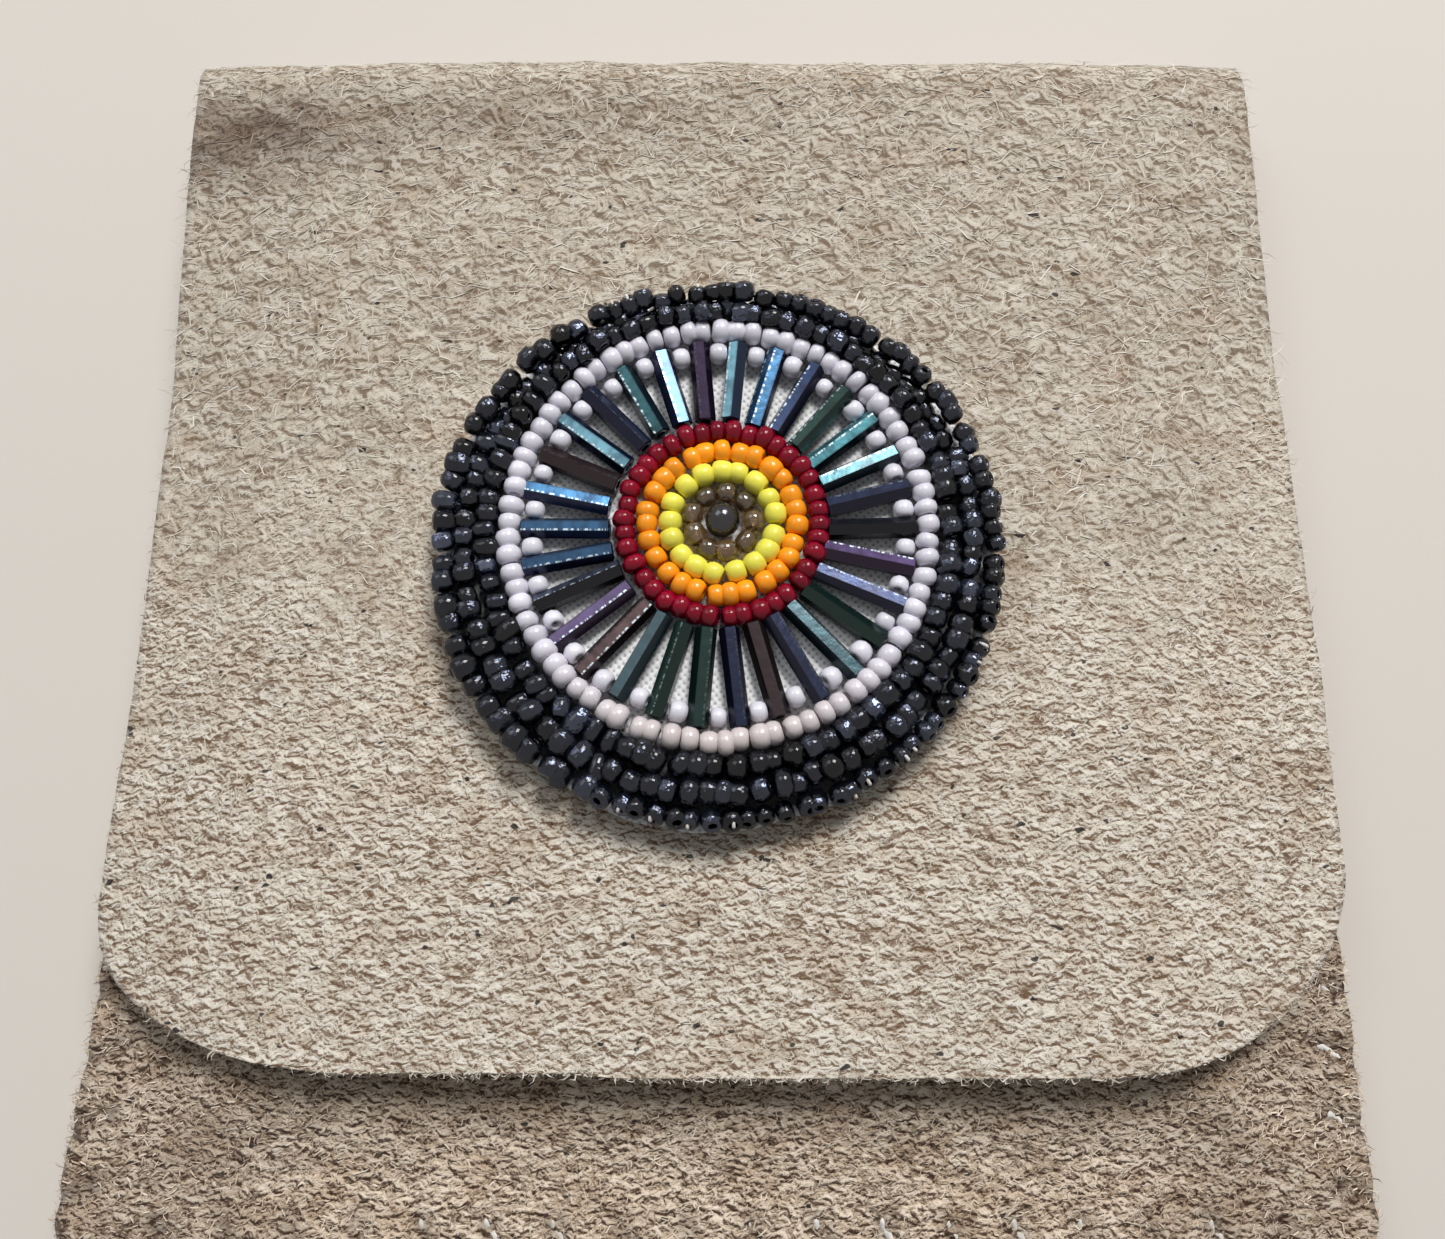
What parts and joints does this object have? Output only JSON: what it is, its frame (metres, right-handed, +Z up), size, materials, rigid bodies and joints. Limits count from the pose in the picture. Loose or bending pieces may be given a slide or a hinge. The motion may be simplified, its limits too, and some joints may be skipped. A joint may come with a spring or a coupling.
{
  "type": "beaded medicine bag",
  "caption": "Small stitched hide pouch lying on its back, with a fold-over flap that carries a round bead rosette of rings, rays and a dark edging.",
  "frame": {"origin": "middle of the underside, with the bag lying on its back", "axes": "+Z up from the back towards the rosette, +Y from the sewn bottom edge towards the fold, +X to the right of someone facing the flap with the fold away from them"},
  "size_m": [0.1037, 0.1054, 0.0139],
  "materials": {
    "flap_hide": "rough napped suede, pale greige",
    "pouch_hide": "rough napped suede, tan",
    "white_thread": "matt cotton thread",
    "woven_backing": "plain woven white cloth",
    "gunmetal_glass": "dark metallic lustre",
    "smoky_glass": "translucent smoky glass",
    "yellow_glass": "opaque glossy yellow",
    "orange_glass": "opaque glossy orange",
    "red_glass": "translucent glossy dark red",
    "iris_glass": "dark metallic iris, blue to teal",
    "pearl_glass": "white pearl lustre",
    "black_glass": "faceted black with grey lustre"
  },
  "bodies": {
    "pouch": {"back_panel": "pouch_hide", "front_panel": "pouch_hide", "flap_fold": "flap_hide", "seam_thread_left": "white_thread", "seam_thread_right": "white_thread", "seam_thread_bottom": "white_thread"},
    "flap": {"flap": "flap_hide", "rosette_backing": "woven_backing", "centre_bead": "gunmetal_glass", "smoky_bead_1": "smoky_glass", "smoky_bead_2": "smoky_glass", "smoky_bead_3": "smoky_glass", "smoky_bead_4": "smoky_glass", "smoky_bead_5": "smoky_glass", "smoky_bead_6": "smoky_glass", "smoky_bead_7": "smoky_glass", "smoky_bead_8": "smoky_glass", "smoky_bead_9": "smoky_glass", "yellow_bead_ring": "yellow_glass", "orange_bead_ring": "orange_glass", "red_bead_ring": "red_glass", "bugle_01": "iris_glass", "bugle_02": "iris_glass", "bugle_03": "iris_glass", "bugle_04": "iris_glass", "bugle_05": "iris_glass", "bugle_06": "iris_glass", "bugle_07": "iris_glass", "bugle_08": "iris_glass", "bugle_09": "iris_glass", "bugle_10": "iris_glass", "bugle_11": "iris_glass", "bugle_12": "iris_glass", "bugle_13": "iris_glass", "bugle_14": "iris_glass", "bugle_15": "iris_glass", "bugle_16": "iris_glass", "bugle_17": "iris_glass", "bugle_18": "iris_glass", "bugle_19": "iris_glass", "bugle_20": "iris_glass", "bugle_21": "iris_glass", "bugle_22": "iris_glass", "bugle_23": "iris_glass", "bugle_24": "iris_glass", "bugle_25": "iris_glass", "bugle_26": "iris_glass", "bugle_27": "iris_glass", "bugle_28": "iris_glass", "bugle_29": "iris_glass", "bugle_30": "iris_glass", "pearl_bead_ring": "pearl_glass", "black_bead_row_inner": "black_glass", "black_bead_row_middle": "black_glass", "black_bead_row_edging": "black_glass"}
  },
  "joints": [
    {"name": "flap_open", "type": "hinge", "parent": "pouch", "child": "flap", "pos_m": [0, 0.05205, 0.00475], "axis": [-1, 0, 0], "range_deg": [0, 165], "deforming": ["flap_fold"]}
  ]
}
